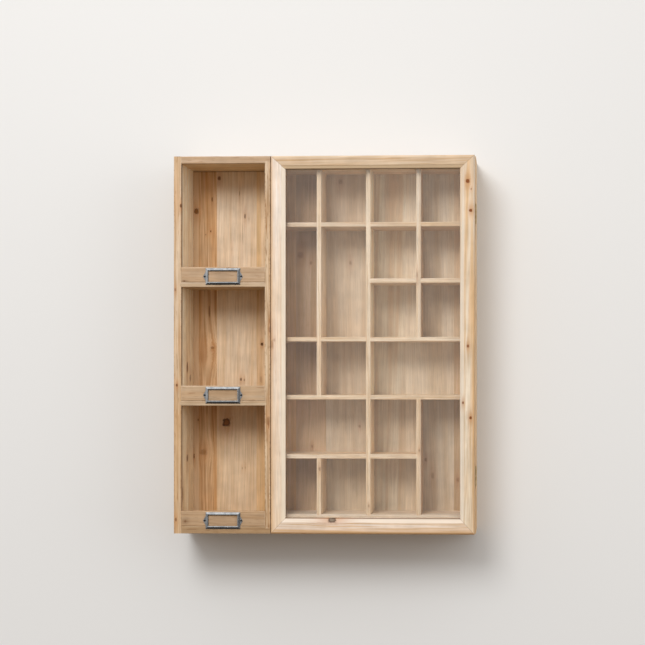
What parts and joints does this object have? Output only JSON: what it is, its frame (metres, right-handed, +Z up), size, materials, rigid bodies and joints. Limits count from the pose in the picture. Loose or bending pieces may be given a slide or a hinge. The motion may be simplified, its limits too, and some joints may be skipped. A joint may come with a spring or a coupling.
{
  "type": "wall display cabinet",
  "caption": "Fir wall cabinet with an open column of cubbies with label holders beside a hinged glazed door over a grid of small display cells.",
  "frame": {"origin": "midway between the entry holes of the two keyhole hangers, on the wall plane", "axes": "+Z up, +Y into the wall, +X to the right as seen from the room"},
  "size_m": [0.4975, 0.1127, 0.62],
  "materials": {
    "fir": "planed fir, clear matt oil",
    "fir_grid": "planed fir strip, clear matt oil",
    "fir_back": "edge-glued fir staves, clear matt oil",
    "beech": "turned beech dowel",
    "clear_glass": "clear float glass",
    "zinc": "pressed sheet steel with dull zinc plating",
    "brass": "satin brass",
    "steel": "zinc-plated steel"
  },
  "bodies": {
    "case": {"left_side": "fir", "right_side": "fir", "partition": "fir", "top_board": "fir", "bottom_board": "fir", "case_dowels": "beech", "back_stave_1": "fir_back", "back_stave_2": "fir_back", "back_stave_3": "fir_back", "back_stave_4": "fir_back", "back_stave_5": "fir_back", "back_stave_6": "fir_back", "back_stave_7": "fir_back", "back_stave_8": "fir_back", "hanging_rail": "fir", "hanger_left": "steel", "hanger_right": "steel", "hanger_screws": "steel", "shelf_upper": "fir", "shelf_lower": "fir", "lip_upper": "fir", "label_holder_upper": "zinc", "lip_middle": "fir", "label_holder_middle": "zinc", "lip_lower": "fir", "label_holder_lower": "zinc", "label_pins": "zinc", "divider_a_upper": "fir_grid", "divider_a_lower": "fir_grid", "divider_b": "fir_grid", "divider_c_upper": "fir_grid", "divider_c_lower": "fir_grid", "cell_shelf_1": "fir_grid", "cell_shelf_2": "fir_grid", "cell_shelf_3": "fir_grid", "cell_shelf_4": "fir_grid", "cell_shelf_5": "fir_grid", "grid_top": "fir_grid", "grid_bottom": "fir_grid", "grid_bearer_front": "fir_grid", "grid_bearer_rear": "fir_grid", "hinge_upper_case_leaf": "brass", "hinge_lower_case_leaf": "brass", "hinge_pins": "brass", "hinge_case_screws": "brass", "catch_magnets": "steel"},
    "door": {"hinge_upper_door_leaf": "brass", "hinge_lower_door_leaf": "brass", "door_stile_left": "fir", "door_stile_right": "fir", "door_rail_top": "fir", "door_rail_bottom": "fir", "door_glass": "clear_glass", "bead_bottom": "fir", "bead_right": "fir", "bead_top": "fir", "bead_left": "fir", "hinge_door_screws": "brass", "catch_strikes": "steel"}
  },
  "joints": [
    {"name": "door_hinge", "type": "hinge", "parent": "case", "child": "door", "pos_m": [0.24775, -0.0925, 0], "axis": [0, 0, 1], "range_deg": [0, 180]}
  ]
}
